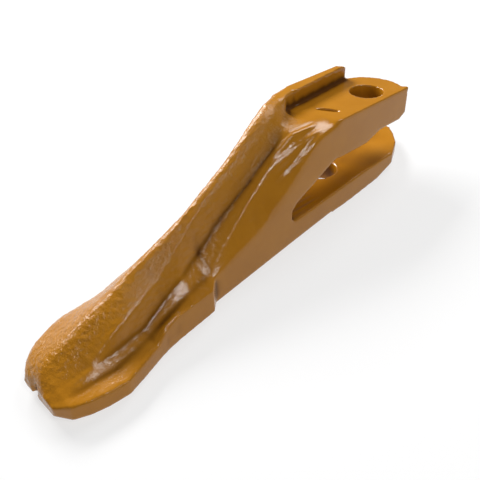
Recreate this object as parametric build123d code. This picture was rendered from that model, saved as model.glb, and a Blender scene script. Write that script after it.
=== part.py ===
from build123d import *
import os

# A bolt-on bucket tooth: one steel casting with a forked shank, a ridged body and a spade blade.
#
# Frame: the origin is on the rear bolt hole's axis, in the flat top face of the shank (the plateau).
# +X runs forward to the digging tip, +Y to the flat near side, +Z up along the bolt holes.
# Units are millimetres.

# ---- shank ------------------------------------------------------------------------------------
NEAR_SIDE = 15.7            # Y of the flat near side of the shank
FAR_SIDE = -23.0            # Y of the far side of the shank, without its rib
SHANK_END = 46.0            # X where the legs' blocks end, inside the body
HEEL_RADIUS = 25.0          # rear end of the upper leg, round the rear hole
NUB_LENGTH = 4.0            # small raised corner at the near rear end of the plateau
NUB_WIDTH = 3.0
NUB_HEIGHT = 2.2
NUB_INSET = 1.0             # how far in front of the heel's rear end it stands
NUB_FOOT = (2.0, 3.0)       # where the near side's rear corner meets the round heel, from the nub: X and Y
LOWER_REAR = -45.0          # X of the lower leg's rear end
LOWER_THICK = 12.0          # lower leg below the slot's floor, under the rear hole
LOWER_PLAN = ((-34, FAR_SIDE), (LOWER_REAR + 1, -15), (LOWER_REAR + 1.5, -7), (-38, 0), (-28, 9),
              (-15, NEAR_SIDE))           # its rear end from above, from the far side to the near side
LOWER_SIDE = ((29, -4.0), (0, 0.0), (-16, 6.0), (LOWER_REAR - 10, 9.4))  # its bottom, as X and rise

# ---- far rib ------------------------------------------------------------------------------------
RIB_THICK = 4.0             # outside the far side
RIB_HEIGHT = 9.5            # above the plateau
RIB_REAR = -8.0             # X where the rib starts
RIB_SPLAY = 0.0873          # sideways lean of its inner face, per millimetre forward
RIB_CORNER = (6.0, 1.5)     # length and height of the cut at its rear top corner
RISE = ((52, -12), (48, 0))  # foot of the rise at the plateau's front end, from the rib to the near side
RISE_ENDS = (55, 46)        # X of its two ends, at the rib and at the near side

# ---- slot for the bucket lip --------------------------------------------------------------------
LIP_THICK = 20.0            # thickness of the lip plate that the slot takes
LIP_CLEAR = 0.5             # spare height over the lip plate
SLOT_ROOF = -25.0           # Z of the slot's roof over its parallel stretch
SLOT_PARALLEL = (16.0, 45.0)  # X range where the roof is parallel to the plateau
SLOT_END = 84.0             # X of the slot's closed end
SLOT_END_HEIGHT = 9.0
SLOT_END_ROUND = 3.0
SLOT_END_DROP = 7.0         # how much the floor falls from the parallel stretch to the closed end
HEEL_ROOF_RISE = 4.5        # how much higher the roof is over the rear stretch, under the upper hole
HEEL_ROOF = (-18.0, 3.0)    # X range of that rear stretch
HEEL_CORNER_RISE = 4.0      # cut at the heel's lower rear corner
MOUTH_FLOOR_RISE = 4.5      # how much the floor rises from the parallel stretch to the mouth
SLOT_FLOOR = SLOT_ROOF - LIP_THICK - LIP_CLEAR
SLOT_MIDDLE = (SLOT_ROOF + SLOT_FLOOR) / 2

# ---- bolt holes ---------------------------------------------------------------------------------
UPPER_HOLE_D = 21.0         # through the upper leg, on the frame's Z axis: clearance for a 20 mm bolt
LOWER_HOLE_D = 21.0         # through the lower leg
LOWER_HOLE_AT = (30.75, -9.0)

# ---- marks on the casting -------------------------------------------------------------------------
NICK_LENGTH = 18.0          # thin curved nick in the plateau
NICK_BOW = 2.7              # how far its rear edge bows back
NICK_BELLY = 0.3            # how far its front edge bows forward
NICK_DEPTH = 5.0
NICK_AT = (39.0, 1.4)
NICK_TURN = 27.0            # its length is square to this direction, degrees from +X
CHIP_RADIUS = 2.8           # chip in the digging edge
CHIP_Y = -6.5

# ---- body and blade: the long edges of the casting, from the shank to the tip ----------------------
# Each edge lists (X, Y, Z) at its corners and is straight between them.
TIP = 248.0
CREST = ((40, -25.0, 9.5), (60, -24.0, 9.5), (74, -18.0, 11.0), (92, -14.0, 3.5), (112, -11.0, -9.0),
         (151, -8.5, -29.5), (TIP - 43, -7.0, -53.5), (TIP - 16, -5.0, -64.5), (TIP - 6, -4.0, -70.0),
         (TIP, -4.0, -77.5))
SHOULDER = ((40, -21.0, 9.5), (55, -17.8, 9.3), (62, -14.5, 8.0), (74, -9.0, 8.0), (92, -7.0, 1.0),
            (112, -5.0, -11.5), (133, -3.5, -22.5), (151, -1.0, -34.5), (176, 4.0, -51.0),
            (TIP - 45, 8.0, -60.5), (TIP - 23, 10.0, -71.5), (TIP - 6, 8.0, -75.0), (TIP, 5.0, -78.5))
VALLEY = ((40, -19.0, 0.0), (55, -17.4, 0.0), (66, -8.0, 1.2), (74, -4.0, 1.0), (85, 0.0, -9.0),
          (101, 0.0, -18.5), (118, 0.5, -28.5), (146, 3.0, -47.5), (162, 7.0, -54.0), (178, 8.5, -62.0),
          (TIP - 57, 11.0, -67.5), (TIP - 23, 12.0, -72.3), (TIP - 6, 10.0, -75.6), (TIP, 7.0, -78.8))
LIP = ((40, 3.0, 0.0), (60, 4.0, -0.2), (74, 5.0, -1.6), (87, 5.0, -9.0), (119, 8.5, -34.0),
       (148, 12.5, -57.0), (162, 13.5, -60.0), (TIP - 58, 15.6, -70.4), (TIP - 35, 17.8, -75.0),
       (TIP - 6, 15.0, -77.3), (TIP, 10.0, -79.4))
NEAR_EDGE = ((40, NEAR_SIDE, 0.0), (64, NEAR_SIDE, -6.0), (86, NEAR_SIDE, -27.0), (108, NEAR_SIDE, -43.5),
             (123, NEAR_SIDE, -49.5), (146, NEAR_SIDE, -58.0), (151, NEAR_SIDE + 4.3, -61.0),
             (181, NEAR_SIDE + 4.3, -64.5), (TIP - 58, NEAR_SIDE + 6.3, -72.3),
             (TIP - 35, NEAR_SIDE + 12.6, -75.8), (TIP - 17, NEAR_SIDE + 9.4, -77.4),
             (TIP - 6, NEAR_SIDE + 4.6, -78.2), (TIP, NEAR_SIDE - 2.7, -79.8))
FAR_EDGE = ((40, FAR_SIDE - RIB_THICK, 9.4), (50, FAR_SIDE - RIB_THICK, 9.0), (60, FAR_SIDE - 3.5, 6.5),
            (74, FAR_SIDE - 1.0, 1.0), (86, FAR_SIDE, -13.0), (108, FAR_SIDE, -33.0),
            (123, FAR_SIDE, -43.0), (146, FAR_SIDE, -54.0),
            (151, FAR_SIDE - 4.0, -57.0), (181, FAR_SIDE - 4.0, -61.0), (TIP - 57, FAR_SIDE - 5.5, -67.0),
            (TIP - 34, FAR_SIDE - 11.0, -71.5), (TIP - 16, FAR_SIDE - 8.0, -74.0),
            (TIP - 6, FAR_SIDE - 2.0, -77.0), (TIP, FAR_SIDE + 6.0, -79.5))
KEEL = ((40, 0.0, SLOT_FLOOR - 16.5), (SLOT_END, 0.0, SLOT_FLOOR - 22.5), (151, 0.0, -77.8),
        (181, 0.0, -82.8), (TIP - 34, 0.0, -86.2), (TIP - 20, 0.0, -88.0), (TIP - 6, 0.0, -88.2),
        (TIP, 0.0, -86.5))
BOTTOM_CUT = 1.5            # the body's and blade's bottom corners are cut back this far on the two sides
STATIONS = (40, 47, 55, 60, 66, 74, 85, 92, 101, 112, 123, 135, 146, 151, 162, 176, 184,
            TIP - 57, TIP - 45, TIP - 34, TIP - 23, TIP - 14, TIP - 6, TIP)

OVERCUT = 10.0              # how far cutters and blocks run past what they cut


def along(edge, x):
    """The point of a long edge at station x, as (y, z)."""
    for (x0, y0, z0), (x1, y1, z1) in zip(edge, edge[1:]):
        if x0 <= x <= x1:
            t = (x - x0) / (x1 - x0)
            return y0 + t * (y1 - y0), z0 + t * (z1 - z0)
    raise ValueError(f"station {x} is off the edge")


def section(x):
    """The body's cross-section at station x, as a face."""
    keel = along(KEEL, x)[1]
    near_y, near_z = along(NEAR_EDGE, x)
    far_y, far_z = along(FAR_EDGE, x)
    ridges = [along(edge, x) for edge in (CREST, SHOULDER, VALLEY, LIP)]
    low = keel + BOTTOM_CUT
    points = [(far_y, low), (far_y, far_z), *ridges, (near_y, near_z), (near_y, low),
              (near_y - BOTTOM_CUT, keel), (far_y + BOTTOM_CUT, keel)]
    return make_face(Polyline(*[(x, y, z) for y, z in points], close=True))


def side_prism(points, y0, y1):
    """A prism across the tooth from y0 to y1, with an outline of (X, Z) points."""
    face = make_face(Polyline(*[(x, y0, z) for x, z in points], close=True))
    return extrude(face, amount=y1 - y0, dir=(0, 1, 0))


def plan_prism(points, z0, z1):
    """An upright prism from z0 to z1, with an outline of (X, Y) points."""
    face = make_face(Polyline(*[(x, y, z0) for x, y in points], close=True))
    return extrude(face, amount=z1 - z0, dir=(0, 0, 1))


def rod(x, y, radius, z0, z1):
    """An upright round rod from z0 to z1."""
    return Pos(x, y, z0) * Cylinder(radius, z1 - z0, align=(Align.CENTER, Align.CENTER, Align.MIN))


def rib_face(x):
    """Y of the far rib's inner face at x."""
    return FAR_SIDE + RIB_SPLAY * (x - RIB_REAR)


def upper_leg():
    """The plateau leg: flat on top, round at the rear, with a straight near side."""
    outer = FAR_SIDE - RIB_THICK
    nub_rear = NUB_INSET - HEEL_RADIUS
    foot_rear = nub_rear + NUB_FOOT[0]
    foot_side = NEAR_SIDE - NUB_WIDTH - NUB_FOOT[1]
    block = plan_prism([(RIB_REAR, outer), (SHANK_END, outer), (SHANK_END, NEAR_SIDE), (nub_rear, NEAR_SIDE),
                        (foot_rear, foot_side), (RIB_REAR, foot_side)], SLOT_MIDDLE, 0)
    heel = rod(0, 0, HEEL_RADIUS, SLOT_MIDDLE, 0)
    heel &= plan_prism([(-HEEL_RADIUS, outer), (HEEL_RADIUS, outer), (HEEL_RADIUS, NEAR_SIDE),
                        (-HEEL_RADIUS, NEAR_SIDE)], SLOT_MIDDLE, 0)
    nub = Box(NUB_LENGTH, NUB_WIDTH, 2 * NUB_HEIGHT)
    nub = Pos(nub_rear + NUB_LENGTH / 2, NEAR_SIDE - NUB_WIDTH / 2, 0) * nub
    return block + heel + nub


def far_rib():
    """The rib along the plateau's far side; its inner face leans inwards towards the front."""
    outer = FAR_SIDE - RIB_THICK
    cut_length, cut_height = RIB_CORNER
    wall = plan_prism([(RIB_REAR, outer), (SHANK_END, outer), (SHANK_END, rib_face(SHANK_END)),
                       (RIB_REAR, FAR_SIDE)], SLOT_ROOF + OVERCUT, RIB_HEIGHT)
    side = side_prism([(RIB_REAR, SLOT_ROOF), (RIB_REAR, RIB_HEIGHT - cut_height),
                       (RIB_REAR + cut_length, RIB_HEIGHT), (SHANK_END, RIB_HEIGHT), (SHANK_END, SLOT_ROOF)],
                      outer, NEAR_SIDE)
    return wall & side


def lower_leg():
    """The lower leg: longer than the upper one, with its near rear corner cut off at a slant."""
    base = SLOT_FLOOR - LOWER_THICK
    lowest = along(KEEL, SHANK_END)[1]
    plan = plan_prism([(SHANK_END, FAR_SIDE), *LOWER_PLAN, (SHANK_END, NEAR_SIDE)],
                      lowest - OVERCUT, SLOT_MIDDLE)
    side = side_prism([(LOWER_SIDE[-1][0], SLOT_MIDDLE), (SHANK_END, SLOT_MIDDLE), (SHANK_END, lowest),
                       *[(x, base + rise) for x, rise in LOWER_SIDE]], FAR_SIDE, NEAR_SIDE)
    return plan & side


def body():
    """Body and blade, through all the cross-sections."""
    return loft([section(x) for x in STATIONS], ruled=True)


def plateau_pocket():
    """Everything over the plateau, out to the far rib and the rising front of the body."""
    rear = -HEEL_RADIUS - OVERCUT
    side = NEAR_SIDE + OVERCUT
    rib_end, side_end = RISE_ENDS
    return plan_prism([(rear, FAR_SIDE), (RIB_REAR, FAR_SIDE), (rib_end, rib_face(rib_end)), *RISE,
                       (side_end, side), (rear, side)], 0, RIB_HEIGHT + OVERCUT)


def slot():
    """The slot for the bucket lip: open at the rear and on both sides, tapering to its closed end."""
    start, stop = SLOT_PARALLEL
    mouth = LOWER_REAR - OVERCUT
    end_floor = SLOT_FLOOR - SLOT_END_DROP
    heel_rear, heel_front = HEEL_ROOF
    heel_roof = SLOT_ROOF + HEEL_ROOF_RISE
    corner_roof = heel_roof + HEEL_CORNER_RISE
    outline = [(mouth, corner_roof), (-HEEL_RADIUS, corner_roof), (heel_rear, heel_roof),
               (heel_front, heel_roof), (start, SLOT_ROOF), (stop, SLOT_ROOF),
               (SLOT_END, end_floor + SLOT_END_HEIGHT), (SLOT_END, end_floor), (start, SLOT_FLOOR),
               (mouth, SLOT_FLOOR + MOUTH_FLOOR_RISE)]
    prism = side_prism(outline, FAR_SIDE - RIB_THICK - OVERCUT, NEAR_SIDE + OVERCUT)
    return fillet(prism.edges().filter_by(Axis.Y).sort_by(Axis.X)[-2:], SLOT_END_ROUND)


def nick():
    """The thin curved nick in the plateau, where a flat round disc and a flatter one overlap."""
    half = NICK_LENGTH / 2
    rear_radius = (half ** 2 + NICK_BOW ** 2) / (2 * NICK_BOW)
    front_radius = (half ** 2 + NICK_BELLY ** 2) / (2 * NICK_BELLY)
    rear = rod(rear_radius - NICK_BOW, 0, rear_radius, -NICK_DEPTH, OVERCUT)
    front = rod(NICK_BELLY - front_radius, 0, front_radius, -NICK_DEPTH, OVERCUT)
    return Pos(*NICK_AT, 0) * Rot(0, 0, NICK_TURN) * (rear & front)


def tooth_casting():
    """The whole tooth: one steel casting."""
    lowest = min(z for _, _, z in KEEL)
    solid = body() + upper_leg() + far_rib() + lower_leg()
    solid -= plateau_pocket()
    solid -= slot()
    solid -= rod(0, 0, UPPER_HOLE_D / 2, SLOT_MIDDLE, OVERCUT)
    solid -= rod(*LOWER_HOLE_AT, LOWER_HOLE_D / 2, lowest, SLOT_MIDDLE)
    solid -= rod(TIP, CHIP_Y, CHIP_RADIUS, lowest - OVERCUT, 0)
    solid -= nick()
    return solid


os.makedirs("parts", exist_ok=True)
tooth = tooth_casting()
export_step(tooth, "parts/tooth_casting.step")
print("tooth_casting", round(tooth.volume / 1000, 1), "cm3")
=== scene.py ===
import bmesh
import bpy
from math import cos, pi, radians
from mathutils import Matrix, Vector, noise


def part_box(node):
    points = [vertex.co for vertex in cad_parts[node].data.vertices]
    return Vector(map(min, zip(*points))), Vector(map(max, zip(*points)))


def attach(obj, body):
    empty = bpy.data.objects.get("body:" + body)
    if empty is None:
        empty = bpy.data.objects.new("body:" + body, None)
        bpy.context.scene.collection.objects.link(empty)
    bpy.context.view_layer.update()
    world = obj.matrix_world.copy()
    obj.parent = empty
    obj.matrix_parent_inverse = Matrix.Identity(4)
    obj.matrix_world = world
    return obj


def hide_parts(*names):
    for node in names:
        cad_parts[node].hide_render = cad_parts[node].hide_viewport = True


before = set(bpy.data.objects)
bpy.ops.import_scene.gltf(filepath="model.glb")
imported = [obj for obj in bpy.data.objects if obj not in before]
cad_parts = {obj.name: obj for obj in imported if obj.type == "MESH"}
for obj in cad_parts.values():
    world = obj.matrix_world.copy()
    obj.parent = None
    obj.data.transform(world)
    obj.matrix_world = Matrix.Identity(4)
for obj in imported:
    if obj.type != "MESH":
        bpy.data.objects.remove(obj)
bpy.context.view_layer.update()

# A bolt-on bucket tooth, cast in one piece of steel and dipped in ochre enamel.
# Lengths named in this file are in millimetres; MM turns them into metres.

MM = 0.001

# ---- camera and room ----
CAMERA_AT = Vector((304.3, 211.2, 149.1))
CAMERA_LOOK = Vector((-0.5443, -0.5990, -0.5873))
CAMERA_ROLL = radians(-2.0)
CAMERA_LENS = 45.0          # on a 36 mm sensor
CAMERA_CLIP = 10.0          # nothing nearer to the camera than this shows
FLOOR_SIZE = 6000.0
REST_REAR = Vector((0, 0, -57.6))       # the floor passes just under the lower leg here
REST_FRONT = Vector((181, 0, -82.9))    # and just under the blade here
FLOOR_GAP = 0.2             # how far below those two places it lies
FLOOR_GLOW = 0.68           # light of its own, so that the tooth casts hardly any shadow
WORLD_STRENGTH = 0.13
LAMP_AIM = (90, 0, -40)     # the middle of the tooth

# ---- casting ----
MERGE = 0.01                # points of the CAD mesh closer than this are one
VOXEL = 0.95                # size of the squares the casting's skin is made of
ROUNDING_PASSES = 1         # each one softens every edge a little more
HUMP_PASSES = 60            # more of them on the spine, which is one round hump
HUMP_START = 60.0           # X where the spine's hump starts
HUMP_LOWEST = -84.0         # the underside, below this, stays as it is
HUMP_SIDE = 1.0             # Y of the hump's near limit on the body
BLADE_START = 140.0         # X where the blade starts
BLADE_HUMP_SIDE = -8.0      # Y of the hump's near limit there
BLADE_HUMP_LEAN = 0.11      # how much that limit moves to the near side per millimetre forward
CHEEK_PASSES = 14           # and some on the near cheek, where the shank turns down into the body
CHEEK = (44.0, 104.0)       # X range of the near cheek
CHEEK_SIDE = 1.0            # Y past which the skin is the cheek
CHEEK_LOWEST = -42.0
SWELL = 0.35                # slow waves of the sand mould
SWELL_LENGTH = 16.0
GRIT = 0.28                 # sand grains and enamel drips standing on the skin
GRIT_LENGTH = 2.2
HOLLOW_PASSES = 30          # softening that shows where the skin is hollow, for the painted shade in the hollows
HOLLOW_LIFT = 0.5           # lift that counts as a full hollow
RIPPLE = 0.35               # height of the ripples on the near cheek
RIPPLE_SPACING = 4.6
RIPPLE_LEAN = 0.12          # how much the ripples lean per millimetre forward
RIPPLE_X = (54.0, 64.0, 84.0, 98.0)     # where they start, are full, are full until, and end
RIPPLE_Y = (0.5, 4.0, 11.0, 14.5)
CALM_SHARE = 0.3            # how much of the spine's roughness the near facets have
ROUGH_START = (46.0, 70.0)  # X range over which the skin goes from smooth to rough
SPINE_SIDE = 6.0            # Y where the spine's roughness starts to grow, at the start of the hump
SPINE_LEAN = 0.04           # and how much further to the near side per millimetre forward
SPINE_FULL = -2.0           # Y where it is full
FACING_UP = (-0.1, 0.35)    # Z of the normal over which the skin goes from smooth to rough

# ---- enamel ----
CLOUD = 22.0                # size of the patches of slightly different colour and sheen
GRAIN = 2.2                 # sand grains under the enamel, drawn coarser than real so that they show
PEEL = 4.5                  # soft waves in the enamel itself
GRAIN_HEIGHT = 1.0
SHEEN = (0.15, 0.25)        # roughness of the enamel, patch by patch
RELIEF = (0.06, 1.0)        # strength of the grain, from the smooth faces to the spine
GLOSS = (0.5, 0.08)         # specular level, from the open faces down to the hollows, as painted shade on the reflections
ENAMEL_IOR = 1.4


def srgb(code):
    """A colour given as sRGB hex digits, turned to linear, with alpha."""
    parts = [int(code[i:i + 2], 16) / 255 for i in (0, 2, 4)]
    return (*[p / 12.92 if p <= 0.04045 else ((p + 0.055) / 1.055) ** 2.4 for p in parts], 1.0)


def add(tree, kind, links=None, **settings):
    """Adds a node. links gives its sockets a value or another node's output; settings are its own fields."""
    node = tree.nodes.new("ShaderNode" + kind)
    for key, value in settings.items():
        setattr(node, key, value)
    for key, value in (links or {}).items():
        if isinstance(value, bpy.types.NodeSocket):
            tree.links.new(value, node.inputs[key])
        else:
            node.inputs[key].default_value = value
    return node


def material(name):
    """A new material with its node tree and its shader."""
    made = bpy.data.materials.new(name)
    made.use_nodes = True
    shader = made.node_tree.nodes["Principled BSDF"]
    return made, made.node_tree, shader


def ochre_enamel():
    """Gloss enamel over rough cast steel: a wet-looking yellow-brown skin that shows every sand grain on
    the spine and lies smoother on the plateau and the sides. The hollows have painted shade: darker colour
    and less gloss."""
    made, tree, shader = material("ochre_enamel")
    where = add(tree, "TexCoord").outputs["Object"]
    cloud = add(tree, "TexNoise", {"Vector": where, "Scale": 1 / (CLOUD * MM), "Detail": 3.0,
                                   "Roughness": 0.6})
    grain = add(tree, "TexNoise", {"Vector": where, "Scale": 1 / (GRAIN * MM), "Detail": 4.0,
                                   "Roughness": 0.65})
    peel = add(tree, "TexNoise", {"Vector": where, "Scale": 1 / (PEEL * MM), "Detail": 2.0,
                                  "Roughness": 0.5})
    rough_skin = add(tree, "Attribute", attribute_name="rough_skin").outputs["Fac"]
    hollow = add(tree, "Attribute", attribute_name="hollow").outputs["Fac"]
    coat = add(tree, "Mix", {0: cloud.outputs["Fac"], 6: srgb("96600f"), 7: srgb("a87014")}, data_type="RGBA")
    # painted shade: the hollows are darkened towards dark brown, as if less light reached them
    hollow_painted_shade = add(tree, "Mix", {0: hollow, 6: coat.outputs[2], 7: srgb("4c2b0a")}, data_type="RGBA")
    tree.links.new(hollow_painted_shade.outputs[2], shader.inputs["Base Color"])
    sheen = add(tree, "MapRange", {"Value": cloud.outputs["Fac"], "From Min": 0.3, "From Max": 0.7,
                                   "To Min": SHEEN[0], "To Max": SHEEN[1]})
    tree.links.new(sheen.outputs["Result"], shader.inputs["Roughness"])
    height = add(tree, "Mix", {0: 0.5, 2: grain.outputs["Fac"], 3: peel.outputs["Fac"]})
    depth = add(tree, "MapRange", {"Value": rough_skin, "To Min": RELIEF[0], "To Max": RELIEF[1]})
    bump = add(tree, "Bump", {"Height": height.outputs[0], "Strength": depth.outputs["Result"],
                              "Distance": GRAIN_HEIGHT * MM})
    tree.links.new(bump.outputs["Normal"], shader.inputs["Normal"])
    # painted shade on the reflections: the hollows get a lower specular level
    hollow_shaded_gloss = add(tree, "MapRange", {"Value": hollow, "To Min": GLOSS[0], "To Max": GLOSS[1]})
    tree.links.new(hollow_shaded_gloss.outputs["Result"], shader.inputs["Specular IOR Level"])
    shader.inputs["IOR"].default_value = ENAMEL_IOR
    return made


def studio_white():
    """Matt white light table under the tooth."""
    made, _, shader = material("studio_white")
    shader.inputs["Base Color"].default_value = srgb("808080")
    shader.inputs["Roughness"].default_value = 0.9
    shader.inputs["Specular IOR Level"].default_value = 0.0
    shader.inputs["Emission Color"].default_value = srgb("ffffff")
    shader.inputs["Emission Strength"].default_value = FLOOR_GLOW
    return made


def new_piece(name, mesh):
    """A mesh as a piece in the scene, with its origin at the frame's origin."""
    piece = bpy.data.objects.new(name, mesh)
    bpy.context.scene.collection.objects.link(piece)
    return piece


def baked(piece):
    """Applies a piece's modifiers to its mesh."""
    graph = bpy.context.evaluated_depsgraph_get()
    mesh = bpy.data.meshes.new_from_object(piece.evaluated_get(graph))
    piece.modifiers.clear()
    piece.data = mesh
    return piece


def ramp(value, low, high):
    """0 at low, 1 at high, smooth between."""
    t = min(max((value - low) / (high - low), 0.0), 1.0)
    return t * t * (3 - 2 * t)


def window(value, edges):
    """0 outside the first and last edge, 1 between the two middle ones, smooth between."""
    start, full, full_until, end = edges
    return ramp(value, start, full) * ramp(-value, -end, -full_until)


def skin_roughness(p, normal):
    """How rough the cast skin is at p (mm), from 0 on plateau, sides and holes to 1 on the spine."""
    front = ramp(p.x, *ROUGH_START)
    upward = ramp(normal.z, *FACING_UP)
    spine = ramp(-p.y, -SPINE_SIDE - SPINE_LEAN * (p.x - HUMP_START), -SPINE_FULL)
    return front * upward * (CALM_SHARE + (1 - CALM_SHARE) * spine)


def on_hump(p):
    """True on the spine's round hump: across to its near flank on the body, and to the crest on the blade."""
    if p.x < HUMP_START or p.z < HUMP_LOWEST:
        return False
    if p.x < BLADE_START:
        return p.y < HUMP_SIDE
    return p.y < BLADE_HUMP_SIDE + BLADE_HUMP_LEAN * (p.x - BLADE_START)


def on_cheek(p):
    """True on the near cheek, where the plateau's near edge turns down into the body."""
    return CHEEK[0] < p.x < CHEEK[1] and p.y > CHEEK_SIDE and p.z > CHEEK_LOWEST


def soften(bm, verts, passes):
    """Rounds the skin at these points."""
    for _ in range(passes):
        bmesh.ops.smooth_vert(bm, verts=verts, factor=0.5, use_axis_x=True, use_axis_y=True, use_axis_z=True)


def mark_hollows(bm):
    """Marks how hollow the skin is, by how far a strong softening would lift it; the enamel paints shade by
    this mark. The skin itself stays.
    """
    layer = bm.verts.layers.float.new("hollow")
    bm.normal_update()
    before = [(v.co.copy(), v.normal.copy()) for v in bm.verts]
    soften(bm, bm.verts, HOLLOW_PASSES)
    for vert, (place, normal) in zip(bm.verts, before):
        lift = (vert.co - place).dot(normal)
        vert[layer] = min(max(lift / (HOLLOW_LIFT * MM), 0.0), 1.0)
        vert.co = place


def cheek_ripples(p):
    """The low lengthwise ripples on the near cheek, in mm."""
    inside = window(p.x, RIPPLE_X) * window(p.y, RIPPLE_Y)
    return RIPPLE * inside * cos(2 * pi * (p.y + RIPPLE_LEAN * p.x) / RIPPLE_SPACING)


def roughen(bm):
    """Moves each point of the skin along its normal, and marks how rough the skin is there."""
    low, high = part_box("tooth_casting")
    rough_layer = bm.verts.layers.float.new("rough_skin")
    bm.normal_update()
    moves = []
    for vert in bm.verts:
        p = vert.co / MM
        rough = skin_roughness(p, vert.normal)
        swell = noise.noise(p / SWELL_LENGTH) * SWELL
        grit = noise.noise(p / GRIT_LENGTH) * GRIT
        vert[rough_layer] = rough
        moves.append(vert.normal * (swell * rough + grit * rough + cheek_ripples(p)) * MM)
    for vert, move in zip(bm.verts, moves):
        for axis in range(3):
            vert.co[axis] = min(max(vert.co[axis] + move[axis], low[axis]), high[axis])


def reskinned_casting():
    """A copy of the CAD casting, skinned again in small squares."""
    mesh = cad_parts["tooth_casting"].data.copy()
    bm = bmesh.new()
    bm.from_mesh(mesh)
    bmesh.ops.remove_doubles(bm, verts=bm.verts, dist=MERGE * MM)
    bm.to_mesh(mesh)
    bm.free()
    piece = new_piece("cast_tooth", mesh)
    reskin = piece.modifiers.new("reskin", "REMESH")
    reskin.mode = "VOXEL"
    reskin.voxel_size = VOXEL * MM
    return baked(piece)


def cast_tooth():
    """The casting, with its edges softened, its skin made uneven, and its enamel."""
    piece = reskinned_casting()
    bm = bmesh.new()
    bm.from_mesh(piece.data)
    soften(bm, bm.verts, ROUNDING_PASSES)
    soften(bm, [v for v in bm.verts if on_hump(v.co / MM)], HUMP_PASSES)
    soften(bm, [v for v in bm.verts if on_cheek(v.co / MM)], CHEEK_PASSES)
    mark_hollows(bm)
    roughen(bm)
    bm.to_mesh(piece.data)
    bm.free()
    piece.data.materials.clear()
    piece.data.materials.append(ochre_enamel())
    piece.data.polygons.foreach_set("use_smooth", [True] * len(piece.data.polygons))
    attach(piece, "root")
    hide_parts("tooth_casting")
    return piece


def floor():
    """The pale floor, level with the lowest points of the lower leg and the blade."""
    slope = (REST_FRONT - REST_REAR).normalized()
    up = slope.cross(Vector((0, 1, 0))).normalized()
    turn = Matrix((slope, Vector((0, 1, 0)), up)).transposed().to_4x4()
    bm = bmesh.new()
    bmesh.ops.create_grid(bm, x_segments=1, y_segments=1, size=FLOOR_SIZE * MM / 2)
    place = Matrix.Translation((REST_FRONT - up * FLOOR_GAP) * MM)
    bmesh.ops.transform(bm, matrix=place @ turn, verts=bm.verts)
    mesh = bpy.data.meshes.new("floor")
    bm.to_mesh(mesh)
    bm.free()
    mesh.materials.append(studio_white())
    new_piece("floor", mesh)


def lamp(name, at, size, power):
    """A flat soft light: its place and its two sides in millimetres, its power in watts."""
    light = bpy.data.lights.new(name, "AREA")
    light.shape = "RECTANGLE"
    light.size, light.size_y = (side * MM for side in size)
    light.energy = power
    holder = bpy.data.objects.new(name, light)
    holder.location = Vector(at) * MM
    holder.rotation_euler = (Vector(LAMP_AIM) - Vector(at)).to_track_quat("-Z", "Y").to_euler()
    bpy.context.scene.collection.objects.link(holder)


def room():
    """Soft studio light: a small key, a panel overhead, a weak front fill and a bright far window."""
    world = bpy.data.worlds.new("studio")
    world.use_nodes = True
    world.node_tree.nodes["Background"].inputs["Color"].default_value = srgb("ffffff")
    world.node_tree.nodes["Background"].inputs["Strength"].default_value = WORLD_STRENGTH
    bpy.context.scene.world = world
    bpy.context.scene.view_settings.view_transform = "Standard"
    lamp("glint", (220, 640, 700), (80, 80), 3.0)
    lamp("roof_light", (-550, -100, 950), (500, 400), 6.3)
    lamp("front", (1100, 500, 300), (500, 300), 1.0)
    lamp("far_window", (40, -850, 640), (700, 300), 21.0)


def camera():
    """The camera, on the digging-tip side, above the near side."""
    lens = bpy.data.cameras.new("camera")
    lens.lens = CAMERA_LENS
    lens.clip_start = CAMERA_CLIP * MM
    holder = bpy.data.objects.new("camera", lens)
    turn = CAMERA_LOOK.to_track_quat("-Z", "Y").to_matrix() @ Matrix.Rotation(CAMERA_ROLL, 3, "Z")
    holder.matrix_world = Matrix.Translation(CAMERA_AT * MM) @ turn.to_4x4()
    bpy.context.scene.collection.objects.link(holder)
    bpy.context.scene.camera = holder


room()
camera()
floor()
cast_tooth()
